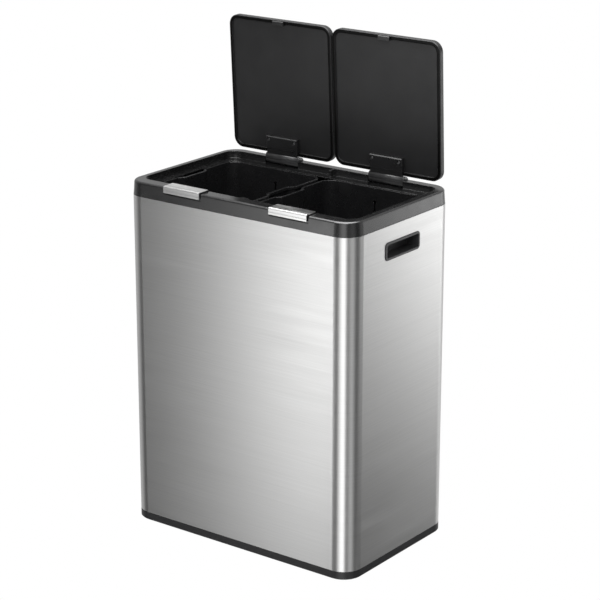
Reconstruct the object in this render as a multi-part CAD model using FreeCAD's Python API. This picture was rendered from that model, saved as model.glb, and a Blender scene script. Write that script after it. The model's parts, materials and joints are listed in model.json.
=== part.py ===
import FreeCAD, Part
import math
import os

# Double recycling bin: a stainless body on a black base, a black rim, two lift-out buckets, two
# sprung lids and a touch bar for each lid. Millimetres. The origin is the centre of the footprint
# on the floor, X to the right, Y to the back, Z up. The lids are drawn shut and turned open about
# their hinge axis, because the bin is kept with its lids open.

V = FreeCAD.Vector
os.makedirs("parts", exist_ok=True)

# ---- driving dimensions -------------------------------------------------------------------

# body
BODY_WIDTH = 504.0
BODY_DEPTH = 314.0
BODY_HEIGHT = 660.0
CORNER_RADIUS = 37.0
SHEET = 0.8
SEAM_WIDTH = 12.0

# base tray and feet
BASE_HEIGHT = 16.4
BASE_LIFT = 1.0
BASE_WALL = 2.6
BASE_EDGE_CHAMFER = 1.8
FLOOR_THICKNESS = 2.5
FLOOR_TOP = 13.5
UPSTAND_HEIGHT = 18.0
FLOOR_RIB = 1.8
FLOOR_RIB_DEPTH = 6.0
FLOOR_RIBS_ALONG = 3
FLOOR_RIBS_ACROSS = 1
FOOT_HALF = 12.0
FOOT_INSET = 34.0
FOOT_THICKNESS = 3.5

# rim
RIM_HEIGHT = 26.5
RIM_DRAFT = 1.5
RIM_STRAIGHT = 1.0
RIM_WALL = 2.5
RIM_EDGE_RADIUS = 5.0
FRONT_BAND = 27.0
FRONT_SLOPE_RUN = 5.5
FRONT_SLOPE_DROP = 5.0
BACK_BAND = 21.5
SIDE_BAND = 15.0
RECESS_RADIUS = 22.0
LEDGE_DROP = 13.5
LEDGE_FRONT = 6.5
LEDGE_SIDE = 13.0
LEDGE_BACK = 19.5
RIM_TAB_DEPTH = 20.0
RIM_TAB = 4.6
TAB_END = 6.0
RIM_RIB = 1.6
RIM_RIB_PITCH = 170.0
STUB_WIDTH = 22.0
STUB_DEPTH = 7.5
STUB_TAPER = 0.6
STUB_ROUND = 2.0
STUB_DROP = 0.6
POST_WIDTH = 6.0
POST_DEPTH = 9.0
POST_ROUND = 1.5
POST_DROP = 2.5

# lids
LID_GAP = 2.4
LID_SIDE_GAP = 1.5
LID_BACK_GAP = 2.0
LID_LENGTH = 256.0
LID_THICKNESS = 10.0
LID_RADIUS = 20.0
LID_SINK = 6.6
LIP_WIDTH = 7.0
LIP_HEIGHT = 2.5
PANEL_THICKNESS = 2.0
LID_CAVITY_INSET = 9.0
PANEL_RIB = 1.6
PANEL_RIB_COUNT = 3
LID_SKIN = 0.8
LID_SKIN_BORDER = 1.8
LID_SKIN_GAP = 0.1
LID_EDGE_CHAMFER = 1.0
LID_OPEN_ANGLE = 87.0

# hinges
HINGE_BACK = 12.0
HINGE_DROP = 3.6
KNUCKLE_RADIUS = 9.2
KNUCKLE_LENGTH = 76.0
KNUCKLE_END_GAP = 0.8
KNUCKLE_GAP = 0.7
PIN_RADIUS = 3.0
PIN_CLEARANCE = 0.08
PIN_SEAT_CLEARANCE = 0.02
PIN_SEAT = 6.0
PLATE_WIDTH = 72.0
PLATE_LENGTH = 25.0
PLATE_THICKNESS = 5.5
PLATE_SET_BACK = 8.4
PLATE_BEVEL = 1.6
LEAF_THICKNESS = 3.9
LEAF_INSET = 1.0
SCREW_HEAD_RADIUS = 2.6
SCREW_HEAD_HEIGHT = 1.6
SCREW_SHANK_RADIUS = 1.5
SCREW_INSET = 6.5
SCREW_RECESS = 1.2

# springs, close wound, drawn as the tube that their turns form
HINGE_SPRING_WIRE = 1.6
HINGE_SPRING_LENGTH = 44.0
HINGE_SPRING_GAP = 0.35
HINGE_CHAMBER_GAP = 0.5
BAR_SPRING_WIRE = 0.9
BAR_SPRING_RADIUS = 3.6
BAR_SPRING_END_GAP = 0.1
BAR_WELL_GAP = 0.5

# touch bars
BAR_LENGTH = 81.6
BAR_RISE = 3.0
BAR_PROUD = 1.6
BAR_SHEET = 1.3
BAR_FRONT_HEIGHT = 12.5
BAR_TOP_BACK = 1.6
BAR_CORNER = 3.6
BAR_GROOVE = 0.9
BAR_GROOVE_WIDTH = 1.6
BAR_TOP_GROOVE = 5.0
BAR_TRAVEL = 3.0
BAR_SPARE = 0.3
BAR_END_GAP = 1.6
POCKET_WALL = 2.2
SLIDER_TOP = 2.3
SLIDER_FRONT = 3.6
GUIDE_SIZE = 6.0
GUIDE_LENGTH = 17.0
GUIDE_OFFSET = 26.0
GUIDE_CLEARANCE = 0.4
SPRING_WELL_DEPTH = 13.0
CATCH_WIDTH = 14.0
CATCH_THICKNESS = 2.4
CATCH_NOSE = 1.3
CATCH_CLEARANCE = 0.8
CATCH_LEAD = 2.0
CATCH_TOP_GAP = 0.6
STUD_CLEARANCE = 0.5
STUD_LENGTH = 4.0
STRIKER_WIDTH = 24.0
STRIKER_DEPTH = 8.0
STRIKER_HEIGHT = 4.6
STRIKER_HOOK = 2.2
STRIKER_LEAD = 1.2
STRIKER_NOSE = 0.4

# rubber stops under the lids
STOP_HALF = 2.4
STOP_INSET = 25.15
STOP_CLEARANCE = 0.3

# side handles
HANDLE_LENGTH = 106.0
HANDLE_HEIGHT = 33.0
HANDLE_RADIUS = 7.3
HANDLE_CENTRE_Y = -3.0
HANDLE_DROP = 72.0
HANDLE_BEZEL = 4.5
HANDLE_PROUD = 1.6
HANDLE_CHAMFER = 1.1
HANDLE_DEPTH = 24.0
HANDLE_WALL = 2.0
HANDLE_CLEARANCE = 0.3
HANDLE_SNAP = 1.2
SNAP_HALF = 12.0

# buckets
BUCKET_GAP = 9.6
BUCKET_SIDE_GAP = 1.5
BUCKET_FRONT_GAP = 1.5
BUCKET_BACK_GAP = 1.5
BUCKET_WALL = 1.8
BUCKET_RADIUS = 22.0
BUCKET_TAPER = 9.0
BUCKET_RIM_DROP = 14.0
BUCKET_FLOOR_GAP = 0.3
BUCKET_FLOOR = 2.2
BUCKET_FOOT = 5.0
BUCKET_FOOT_RING = 12.0
BEAD_WIDTH = 4.6
BEAD_HEIGHT = 5.0
BEAD_CHAMFER = 0.8
GRIP_CENTRE_Y = -8.0
GRIP_LENGTH = 80.0
GRIP_END = 14.0
GRIP_DEPTH = 9.0
GRIP_HEIGHT = 150.0
GRIP_BEND = 4.0
GRIP_REACH = 4.0
GRIP_RISE = 2.0
GRIP_RUN_OUT = 1.0
KEYHOLE_DROP = 24.0
KEYHOLE_TOP_RADIUS = 3.0
KEYHOLE_SLOT_WIDTH = 3.0
KEYHOLE_BOTTOM_WIDTH = 8.0
KEYHOLE_BOTTOM_HEIGHT = 7.0
KEYHOLE_HEIGHT = 27.0

# running clearance between pieces that only lie against each other
FIT = 0.3

# flat sides of small round pieces that repeat, and of wound springs
SMALL_SIDES = 12
SPRING_SIDES = 16

# how far a cutting shape runs past the face that it opens
PAST = 1.0

# smallest corner radius that an outline keeps when it is drawn in
LEAST_RADIUS = 0.6

# ---- levels and places that follow --------------------------------------------------------

HALF_WIDTH = BODY_WIDTH / 2
HALF_DEPTH = BODY_DEPTH / 2
FRONT = -HALF_DEPTH
BACK = HALF_DEPTH
RIM_BOTTOM = BODY_HEIGHT - RIM_HEIGHT
LEDGE_TOP = BODY_HEIGHT - LEDGE_DROP
LEDGE_BOTTOM = LEDGE_TOP - RIM_WALL
SHELL_BOTTOM = BASE_HEIGHT + FIT
SHELL_TOP = RIM_BOTTOM - FIT
HANDLE_CENTRE_Z = BODY_HEIGHT - HANDLE_DROP

RECESS_SIDE = HALF_WIDTH - SIDE_BAND
RECESS_BACK = BACK - BACK_BAND
RECESS_FRONT_TOP = FRONT + FRONT_BAND
RECESS_FRONT = RECESS_FRONT_TOP + FRONT_SLOPE_RUN
OPENING_SIDE = RECESS_SIDE - LEDGE_SIDE
OPENING_FRONT = RECESS_FRONT + LEDGE_FRONT
OPENING_BACK = RECESS_BACK - LEDGE_BACK

LID_LIP_LEVEL = BODY_HEIGHT - LID_SINK
LID_TOP_LEVEL = LID_LIP_LEVEL + LID_THICKNESS
LID_INNER_X = LID_GAP / 2
LID_OUTER_X = RECESS_SIDE - LID_SIDE_GAP
LID_BACK = RECESS_BACK - LID_BACK_GAP
LID_FRONT = LID_BACK - LID_LENGTH
LID_CENTRE_X = (LID_INNER_X + LID_OUTER_X) / 2

HINGE_Y = BACK - HINGE_BACK
HINGE_Z = BODY_HEIGHT - HINGE_DROP
NOTCH_RADIUS = KNUCKLE_RADIUS + KNUCKLE_GAP
NOTCH_HALF = KNUCKLE_LENGTH / 2 + KNUCKLE_END_GAP
PIN_HALF = NOTCH_HALF + PIN_SEAT
CHAMBER_RADIUS = PIN_RADIUS + HINGE_SPRING_GAP + HINGE_SPRING_WIRE + HINGE_CHAMBER_GAP
CHAMBER_HALF = HINGE_SPRING_LENGTH / 2 + FIT

BAR_TOP = BODY_HEIGHT + BAR_RISE
BAR_FRONT = FRONT - BAR_PROUD
BAR_BACK = RECESS_FRONT_TOP - BAR_TOP_BACK
BAR_BOTTOM = BAR_TOP - BAR_FRONT_HEIGHT
SLIDER_BOTTOM = BAR_TOP - BAR_SHEET - SLIDER_TOP
SLIDER_FRONT_BACK = BAR_FRONT + BAR_SHEET + SLIDER_FRONT
POCKET_FLOOR = SLIDER_BOTTOM - BAR_TRAVEL - BAR_SPARE
POCKET_SHELF = BAR_BOTTOM - BAR_TRAVEL - BAR_SPARE
POCKET_HALF = BAR_LENGTH / 2 + BAR_END_GAP
SPRING_WELL_BOTTOM = POCKET_FLOOR - SPRING_WELL_DEPTH
SPRING_Y = (FRONT + RECESS_FRONT_TOP) / 2
CATCH_TOP = LID_LIP_LEVEL - CATCH_TOP_GAP
CATCH_FRONT = BAR_BACK - CATCH_THICKNESS
CATCH_BOTTOM = LEDGE_TOP + BAR_TRAVEL + BAR_SPARE

BUCKET_TOP = BODY_HEIGHT - BUCKET_RIM_DROP
BUCKET_BASE = FLOOR_TOP + BUCKET_FLOOR_GAP
BUCKET_INNER_X = BUCKET_GAP / 2
BUCKET_OUTER_X = OPENING_SIDE - BUCKET_SIDE_GAP
BUCKET_FRONT = OPENING_FRONT + BUCKET_FRONT_GAP
BUCKET_BACK = OPENING_BACK - BUCKET_BACK_GAP

SIDES = (("left", -1), ("right", 1))


# ---- shape helpers ------------------------------------------------------------------------

def rounded(low_x, high_x, low_y, high_y, radius):
    """A rectangle with round corners, seen from above."""
    return (low_x, high_x, low_y, high_y, radius)


def centred(half_x, half_y, radius):
    return rounded(-half_x, half_x, -half_y, half_y, radius)


def inset(outline, distance):
    """The same rectangle drawn in by a distance all round."""
    low_x, high_x, low_y, high_y, radius = outline
    smaller = max(radius - distance, LEAST_RADIUS)
    return (low_x + distance, high_x - distance, low_y + distance, high_y - distance, smaller)


def outline_wire(outline, z):
    """Closed wire of four lines and four arcs at a height."""
    low_x, high_x, low_y, high_y, radius = outline
    corners = (
        (high_x - radius, low_y + radius, -90.0),
        (high_x - radius, high_y - radius, 0.0),
        (low_x + radius, high_y - radius, 90.0),
        (low_x + radius, low_y + radius, 180.0),
    )
    arcs = []
    for centre_x, centre_y, start in corners:
        points = []
        for step in (0.0, 45.0, 90.0):
            angle = math.radians(start + step)
            points.append(V(centre_x + radius * math.cos(angle), centre_y + radius * math.sin(angle), z))
        arcs.append(points)
    edges = []
    for index, points in enumerate(arcs):
        edges.append(Part.Arc(*points).toShape())
        following = arcs[(index + 1) % 4][0]
        edges.append(Part.LineSegment(points[2], following).toShape())
    return Part.Wire(edges)


def prism(outline, low_z, high_z):
    face = Part.Face(outline_wire(outline, low_z))
    return face.extrude(V(0, 0, high_z - low_z))


def tapered(low_outline, low_z, high_outline, high_z):
    """Solid between two rounded rectangles of different size."""
    wires = [outline_wire(low_outline, low_z), outline_wire(high_outline, high_z)]
    return Part.makeLoft(wires, True, True)


def drafted(low_outline, low_z, high_outline, high_z):
    """Like tapered, with flat walls and one corner radius all the way up."""
    low_x, far_x, low_y, far_y, radius = low_outline
    top_x, top_far_x, top_y, top_far_y = high_outline[:4]
    body = Part.makeWedge(low_x, low_z, low_y, top_y, top_x, far_x, high_z, far_y, top_far_y, top_far_x)
    body.rotate(V(0, 0, 0), V(1, 0, 0), 90)
    body = body.mirror(V(0, 0, 0), V(0, 1, 0))
    upright = edges_at(body, lambda edge: edge.BoundBox.ZLength > (high_z - low_z) / 2)
    return body.makeFillet(radius, upright)


def block(low_x, high_x, low_y, high_y, low_z, high_z):
    return Part.makeBox(high_x - low_x, high_y - low_y, high_z - low_z, V(low_x, low_y, low_z))


def rod(radius, start, direction, length):
    return Part.makeCylinder(radius, length, start, direction)


def faceted_rod(radius, start, direction, length, sides):
    """Like rod, with flat sides."""
    across = direction.cross(V(0, 1, 0))
    upward = direction.cross(across)
    corners = []
    for index in range(sides):
        angle = 2 * math.pi * (index + 0.5) / sides
        corners.append(start + across * (radius * math.cos(angle)) + upward * (radius * math.sin(angle)))
    face = Part.Face(Part.makePolygon(corners + corners[:1]))
    return face.extrude(direction * length)


def side_profile(points, low_x, high_x):
    """A polygon drawn in Y and Z, and pulled along X."""
    corners = [V(low_x, y, z) for y, z in points]
    face = Part.Face(Part.makePolygon(corners + corners[:1]))
    return face.extrude(V(high_x - low_x, 0, 0))


def mirrored(shape):
    return shape.mirror(V(0, 0, 0), V(1, 0, 0))


def on_side(shape, side):
    """Pieces are drawn for the right-hand side and mirrored for the left."""
    if side > 0:
        return shape
    return mirrored(shape)


def opened(shape):
    """Turn a piece of a shut lid to the open pose."""
    turned = shape.copy()
    turned.rotate(V(0, HINGE_Y, HINGE_Z), V(-1, 0, 0), LID_OPEN_ANGLE)
    return turned


def edges_at(shape, test):
    return [edge for edge in shape.Edges if test(edge)]


def level_edges(shape, z):
    """Edges that lie flat at one height."""
    def flat(edge):
        box = edge.BoundBox
        return abs(box.ZMin - z) < 1e-4 and abs(box.ZMax - z) < 1e-4
    return edges_at(shape, flat)


def save(name, shape):
    shape.exportStep(os.path.join("parts", name + ".step"))
    print(f"{name:24s} solids {len(shape.Solids)}, valid {shape.isValid()}, volume {shape.Volume:.0f}")


def inner_tabs(wall, low_z, high_z):
    """Four straight tabs inside the sheet, one along each side between the round corners."""
    reach_x = HALF_WIDTH - SHEET - FIT
    reach_y = HALF_DEPTH - SHEET - FIT
    half_x = HALF_WIDTH - CORNER_RADIUS - TAB_END
    half_y = HALF_DEPTH - CORNER_RADIUS - TAB_END
    tabs = []
    for side in (-1, 1):
        low, high = sorted((side * (reach_y - wall), side * reach_y))
        tabs.append(block(-half_x, half_x, low, high, low_z, high_z))
        low, high = sorted((side * (reach_x - wall), side * reach_x))
        tabs.append(block(low, high, -half_y, half_y, low_z, high_z))
    return tabs


# ---- base ---------------------------------------------------------------------------------

def base_tray():
    outline = centred(HALF_WIDTH, HALF_DEPTH, CORNER_RADIUS)
    upstand_top = BASE_HEIGHT + UPSTAND_HEIGHT
    floor_bottom = FLOOR_TOP - FLOOR_THICKNESS
    tray = prism(outline, BASE_LIFT, BASE_HEIGHT)
    tray = tray.makeChamfer(BASE_EDGE_CHAMFER, level_edges(tray, BASE_LIFT))
    tray = tray.cut(prism(inset(outline, BASE_WALL), BASE_LIFT - PAST, floor_bottom))
    tray = tray.cut(prism(inset(outline, SHEET + FIT + BASE_WALL), FLOOR_TOP, BASE_HEIGHT + PAST))
    rib_bottom = floor_bottom - FLOOR_RIB_DEPTH
    reach_x = HALF_WIDTH - BASE_WALL
    reach_y = HALF_DEPTH - BASE_WALL
    ribs = inner_tabs(BASE_WALL, FLOOR_TOP, upstand_top)
    for index in range(FLOOR_RIBS_ALONG):
        x = -reach_x + (index + 1) * 2 * reach_x / (FLOOR_RIBS_ALONG + 1)
        ribs.append(block(x - FLOOR_RIB / 2, x + FLOOR_RIB / 2, -reach_y, reach_y, rib_bottom, floor_bottom))
    for index in range(FLOOR_RIBS_ACROSS):
        y = -reach_y + (index + 1) * 2 * reach_y / (FLOOR_RIBS_ACROSS + 1)
        ribs.append(block(-reach_x, reach_x, y - FLOOR_RIB / 2, y + FLOOR_RIB / 2, rib_bottom, floor_bottom))
    for x, y in foot_places():
        ribs.append(foot_block(x, y, FOOT_HALF + FLOOR_RIB, FOOT_THICKNESS, floor_bottom))
    return tray.fuse(ribs)


def foot_places():
    x = HALF_WIDTH - FOOT_INSET
    y = HALF_DEPTH - FOOT_INSET
    return ((-x, -y), (x, -y), (-x, y), (x, y))


def foot_block(x, y, half, low_z, high_z):
    return block(x - half, x + half, y - half, y + half, low_z, high_z)


def base_feet():
    feet = [foot_block(x, y, FOOT_HALF, 0, FOOT_THICKNESS) for x, y in foot_places()]
    return Part.makeCompound(feet)


# ---- body sheet ---------------------------------------------------------------------------

def handle_outline(half_length, half_height, radius, low_x, high_x):
    """Rounded slot through the side wall, along X."""
    flat = rounded(-half_height, half_height, -half_length, half_length, radius)
    slot = prism(flat, 0, high_x - low_x)
    slot.rotate(V(0, 0, 0), V(0, 1, 0), 90)
    slot.translate(V(low_x, HANDLE_CENTRE_Y, HANDLE_CENTRE_Z))
    return slot


def cup_block(extra, low_x, high_x):
    """Hidden outside of the cup along X, grown by an amount. The bezel covers its sharp corners."""
    half_length, half_height = handle_cup_half(extra)
    return block(low_x, high_x, HANDLE_CENTRE_Y - half_length, HANDLE_CENTRE_Y + half_length,
                 HANDLE_CENTRE_Z - half_height, HANDLE_CENTRE_Z + half_height)


def handle_cup_half(extra):
    """Half length and half height of the cup, grown by an amount."""
    shrink = HANDLE_BEZEL - HANDLE_WALL - extra
    return HANDLE_LENGTH / 2 - shrink, HANDLE_HEIGHT / 2 - shrink


def body_shell():
    outline = centred(HALF_WIDTH, HALF_DEPTH, CORNER_RADIUS)
    shell = prism(outline, SHELL_BOTTOM, SHELL_TOP)
    shell = shell.cut(prism(inset(outline, SHEET), SHELL_BOTTOM - PAST, SHELL_TOP + PAST))
    # the sheet's two ends overlap in a welded lap behind
    lap_low = BASE_HEIGHT + UPSTAND_HEIGHT + FIT
    lap_high = RIM_BOTTOM - RIM_TAB_DEPTH - FIT
    lap = block(-SEAM_WIDTH / 2, SEAM_WIDTH / 2, BACK - 2 * SHEET, BACK - SHEET / 2, lap_low, lap_high)
    shell = shell.fuse(lap)
    window = cup_block(HANDLE_CLEARANCE, HALF_WIDTH - SHEET - PAST, HALF_WIDTH + PAST)
    return shell.cut([window, mirrored(window)])


def handle_cup():
    """Moulded grab handle for the right side: a bezel on the sheet and a closed cup behind it."""
    bezel_high = HALF_WIDTH + FIT / 3 + HANDLE_PROUD
    bezel = handle_outline(HANDLE_LENGTH / 2, HANDLE_HEIGHT / 2, HANDLE_RADIUS,
                           HALF_WIDTH + FIT / 3, bezel_high)
    rim_edges = edges_at(bezel, lambda edge: edge.BoundBox.XMin > bezel_high - 1e-4)
    bezel = bezel.makeChamfer(HANDLE_CHAMFER, rim_edges)
    half_length, half_height = handle_cup_half(0)
    cup_low = HALF_WIDTH - HANDLE_DEPTH - HANDLE_WALL
    cup = cup_block(0, cup_low, HALF_WIDTH + HANDLE_PROUD / 2)
    # snap ridges above and below hold the cup behind the sheet
    ridge_x = HALF_WIDTH - SHEET - FIT - HANDLE_SNAP
    reach = half_height + HANDLE_SNAP
    ridge = block(ridge_x, ridge_x + HANDLE_SNAP, HANDLE_CENTRE_Y - SNAP_HALF, HANDLE_CENTRE_Y + SNAP_HALF,
                  HANDLE_CENTRE_Z - reach, HANDLE_CENTRE_Z + reach)
    hollow = handle_outline(half_length - HANDLE_WALL, half_height - HANDLE_WALL, HANDLE_RADIUS - HANDLE_BEZEL,
                            HALF_WIDTH - HANDLE_DEPTH, bezel_high + PAST)
    return bezel.fuse([cup, ridge]).cut(hollow)


# ---- rim ----------------------------------------------------------------------------------

def recess_outline(front, grow=0.0):
    radius = RECESS_RADIUS + grow
    return rounded(-RECESS_SIDE - grow, RECESS_SIDE + grow, front - grow, RECESS_BACK + grow, radius)


def recess_space(low_z, high_z, grow=0.0):
    """The lids' recess, whose front wall leans forward near the top."""
    slope_low = BODY_HEIGHT - FRONT_SLOPE_DROP - grow
    slope_high = BODY_HEIGHT - grow
    lower = prism(recess_outline(RECESS_FRONT, grow), low_z, slope_low)
    upper = tapered(recess_outline(RECESS_FRONT, grow), slope_low,
                    recess_outline(RECESS_FRONT_TOP, grow), slope_high)
    space = lower.fuse(upper)
    if high_z > slope_high:
        space = space.fuse(prism(recess_outline(RECESS_FRONT_TOP, grow), slope_high, high_z))
    return space


def opening_outline(grow=0.0):
    return rounded(-OPENING_SIDE - grow, OPENING_SIDE + grow, OPENING_FRONT - grow,
                   OPENING_BACK + grow, BUCKET_RADIUS + BUCKET_BACK_GAP + grow)


def rim_outer():
    """Leaning outer wall, then a short upright one, rounded over to the top."""
    outline = inset(centred(HALF_WIDTH, HALF_DEPTH, CORNER_RADIUS), FIT)
    top_outline = inset(outline, RIM_DRAFT)
    shoulder = BODY_HEIGHT - RIM_EDGE_RADIUS - RIM_STRAIGHT
    crown = prism(top_outline, shoulder, BODY_HEIGHT)
    crown = crown.makeFillet(RIM_EDGE_RADIUS, level_edges(crown, BODY_HEIGHT))
    return tapered(outline, RIM_BOTTOM, top_outline, shoulder).fuse(crown)


def rim_hollow():
    """Space inside the rim, between its outer wall, its top, the recess walls and the ledge."""
    outline = inset(centred(HALF_WIDTH, HALF_DEPTH, CORNER_RADIUS), FIT + RIM_DRAFT + RIM_WALL)
    space = prism(outline, RIM_BOTTOM - PAST, BODY_HEIGHT - RIM_WALL)
    return space.cut(recess_space(LEDGE_BOTTOM, BODY_HEIGHT, RIM_WALL))


def rim_ribs():
    """Stiffening webs between the outer wall and the recess walls."""
    ribs = []
    steps = int((HALF_WIDTH - CORNER_RADIUS) / RIM_RIB_PITCH)
    for index in range(-steps, steps + 1):
        x = index * RIM_RIB_PITCH
        ribs.append(block(x - RIM_RIB / 2, x + RIM_RIB / 2, FRONT, BACK, LEDGE_BOTTOM, BODY_HEIGHT))
    steps = int((HALF_DEPTH - CORNER_RADIUS) / RIM_RIB_PITCH)
    for index in range(-steps, steps + 1):
        y = index * RIM_RIB_PITCH
        ribs.append(block(-HALF_WIDTH, HALF_WIDTH, y - RIM_RIB / 2, y + RIM_RIB / 2,
                          LEDGE_BOTTOM, BODY_HEIGHT))
    return ribs


def hinge_block(side):
    """Solid housing in the back band, in which the hinge notch is cut."""
    centre = side * LID_CENTRE_X
    half = PIN_HALF + RIM_WALL
    return block(centre - half, centre + half, RECESS_BACK, BACK, LEDGE_BOTTOM, BODY_HEIGHT)


def hinge_notch(side):
    centre = side * LID_CENTRE_X
    bottom = HINGE_Z - NOTCH_RADIUS
    low_x = centre - NOTCH_HALF
    high_x = centre + NOTCH_HALF
    round_part = rod(NOTCH_RADIUS, V(low_x, HINGE_Y, HINGE_Z), V(1, 0, 0), 2 * NOTCH_HALF)
    open_front = block(low_x, high_x, RECESS_BACK - PAST, HINGE_Y, bottom, BODY_HEIGHT + PAST)
    open_top = block(low_x, high_x, HINGE_Y - PAST, HINGE_Y + NOTCH_RADIUS, HINGE_Z, BODY_HEIGHT + PAST)
    seat_start = V(centre - PIN_HALF, HINGE_Y, HINGE_Z)
    seat = rod(PIN_RADIUS + PIN_SEAT_CLEARANCE, seat_start, V(1, 0, 0), 2 * PIN_HALF)
    return round_part.fuse([open_front, open_top, seat])


def pocket_block(side):
    """Solid housing in the front band, in which the touch bar's pocket is cut."""
    centre = side * LID_CENTRE_X
    half = POCKET_HALF + POCKET_WALL
    low_x = centre - half
    high_x = centre + half
    pad_back = SLIDER_FRONT_BACK + FIT + POCKET_WALL
    top = block(low_x, high_x, FRONT, RECESS_FRONT, POCKET_FLOOR - POCKET_WALL, BODY_HEIGHT)
    front = block(low_x, high_x, FRONT, pad_back, POCKET_SHELF - POCKET_WALL, BODY_HEIGHT)
    half = BAR_SPRING_RADIUS + BAR_WELL_GAP + POCKET_WALL
    well = block(centre - half, centre + half, SPRING_Y - half, SPRING_Y + half,
                 SPRING_WELL_BOTTOM - POCKET_WALL, POCKET_FLOOR)
    return top.fuse([front, well])


def pocket_space(side):
    """Everything that is cut away for one touch bar, its slider, its spring and its catch."""
    centre = side * LID_CENTRE_X
    low_x = centre - POCKET_HALF
    high_x = centre + POCKET_HALF
    outside = BAR_FRONT - PAST
    top = block(low_x, high_x, outside, RECESS_FRONT + PAST, POCKET_FLOOR, BODY_HEIGHT + PAST)
    front = block(low_x, high_x, outside, SLIDER_FRONT_BACK + FIT, POCKET_SHELF, BODY_HEIGHT)
    well = rod(BAR_SPRING_RADIUS + BAR_WELL_GAP, V(centre, SPRING_Y, SPRING_WELL_BOTTOM), V(0, 0, 1),
               SPRING_WELL_DEPTH + PAST)
    cuts = [front, well]
    half = GUIDE_SIZE / 2 + GUIDE_CLEARANCE
    for x in (centre - GUIDE_OFFSET, centre + GUIDE_OFFSET):
        cuts.append(block(x - half, x + half, SPRING_Y - half, SPRING_Y + half,
                          LEDGE_BOTTOM - PAST, POCKET_FLOOR + PAST))
    half = CATCH_WIDTH / 2 + CATCH_CLEARANCE
    cuts.append(block(centre - half, centre + half, CATCH_FRONT - CATCH_CLEARANCE, RECESS_FRONT + PAST,
                      CATCH_BOTTOM - BAR_TRAVEL, POCKET_FLOOR + PAST))
    return top.fuse(cuts)


def stubs():
    """Small centre pieces of the rim, in the corners between the two lids."""
    half = STUB_WIDTH / 2
    nose = half * STUB_TAPER
    root = RECESS_FRONT_TOP + PAST
    tip = RECESS_FRONT_TOP + STUB_DEPTH
    places = [(-half, FRONT + RIM_EDGE_RADIUS + FIT), (-half, root), (-nose, tip),
              (nose, tip), (half, root), (half, FRONT + RIM_EDGE_RADIUS + FIT)]
    corners = [V(x, y, LEDGE_BOTTOM) for x, y in places]
    face = Part.Face(Part.makePolygon(corners + corners[:1]))
    stub = face.extrude(V(0, 0, BODY_HEIGHT - STUB_DROP - LEDGE_BOTTOM))
    stub = rounded_upright(stub, STUB_ROUND, lambda box: box.YMin > root)
    post = block(-POST_WIDTH / 2, POST_WIDTH / 2, RECESS_BACK - POST_DEPTH, RECESS_BACK + PAST,
                 LEDGE_BOTTOM, BODY_HEIGHT - POST_DROP)
    post = rounded_upright(post, POST_ROUND, lambda box: box.YMax < RECESS_BACK)
    return [stub, post]


def rounded_upright(shape, radius, test):
    """Round those upright edges whose box passes the test."""
    return shape.makeFillet(radius, edges_at(shape, lambda edge: edge.BoundBox.ZLength > radius
                                             and test(edge.BoundBox)))


def rim_frame():
    outer = rim_outer()
    inner_pieces = rim_ribs()
    opening = prism(opening_outline(), RIM_BOTTOM - PAST, BODY_HEIGHT)
    cuts = [recess_space(LEDGE_TOP, BODY_HEIGHT + PAST), opening]
    for _, side in SIDES:
        inner_pieces += [hinge_block(side), pocket_block(side)]
        cuts += [hinge_notch(side), pocket_space(side)]
    inner = inner_pieces[0].fuse(inner_pieces[1:])
    rim = outer.cut(rim_hollow()).fuse(inner.common(outer))
    tabs = inner_tabs(RIM_TAB, RIM_BOTTOM - RIM_TAB_DEPTH, LEDGE_BOTTOM)
    return rim.fuse(tabs).cut(cuts).fuse(stubs()).removeSplitter()


# ---- lids ---------------------------------------------------------------------------------

def lid_outline(shrink=0.0):
    whole = rounded(LID_INNER_X, LID_OUTER_X, LID_FRONT, LID_BACK, LID_RADIUS)
    return inset(whole, shrink)


def lid_panel():
    """Moulded inner panel with its lip, drawn shut: the lip hangs down round a sunk face."""
    skin_seat = LID_TOP_LEVEL - LID_SKIN
    panel = prism(lid_outline(), LID_LIP_LEVEL, LID_TOP_LEVEL)
    panel = panel.makeChamfer(LID_EDGE_CHAMFER, level_edges(panel, LID_LIP_LEVEL))
    panel = panel.cut(prism(lid_outline(LID_SKIN_BORDER), skin_seat, LID_TOP_LEVEL + PAST))
    face_low = LID_LIP_LEVEL + LIP_HEIGHT
    panel = panel.cut(prism(lid_outline(LIP_WIDTH), LID_LIP_LEVEL - PAST, face_low))
    low_x, high_x, low_y, high_y, _ = lid_outline(LID_CAVITY_INSET)
    inside = block(low_x, high_x, low_y, high_y, face_low + PANEL_THICKNESS, skin_seat + PAST)
    ribs = []
    for index in range(PANEL_RIB_COUNT):
        y = LID_FRONT + (index + 1) * LID_LENGTH / (PANEL_RIB_COUNT + 1)
        ribs.append(block(LID_INNER_X, LID_OUTER_X, y - PANEL_RIB / 2, y + PANEL_RIB / 2,
                          face_low, skin_seat - FIT))
    inside = inside.cut(ribs)
    return panel.cut(inside)


def lid_skin():
    """Stainless sheet let into the top of the lid."""
    return prism(lid_outline(LID_SKIN_BORDER + LID_SKIN_GAP), LID_TOP_LEVEL - LID_SKIN, LID_TOP_LEVEL)


def plate_span():
    """Front and back of the hinge plate under the shut lid, and its lower and upper faces."""
    back = HINGE_Y - KNUCKLE_RADIUS - LID_BACK_GAP - PLATE_SET_BACK
    return back - PLATE_LENGTH, back, LID_LIP_LEVEL - PLATE_THICKNESS, LID_LIP_LEVEL + LIP_HEIGHT


def screw_places():
    front = plate_span()[0]
    x = PLATE_WIDTH / 2 - SCREW_INSET
    return ((LID_CENTRE_X - x, front + SCREW_INSET), (LID_CENTRE_X + x, front + SCREW_INSET))


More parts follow.
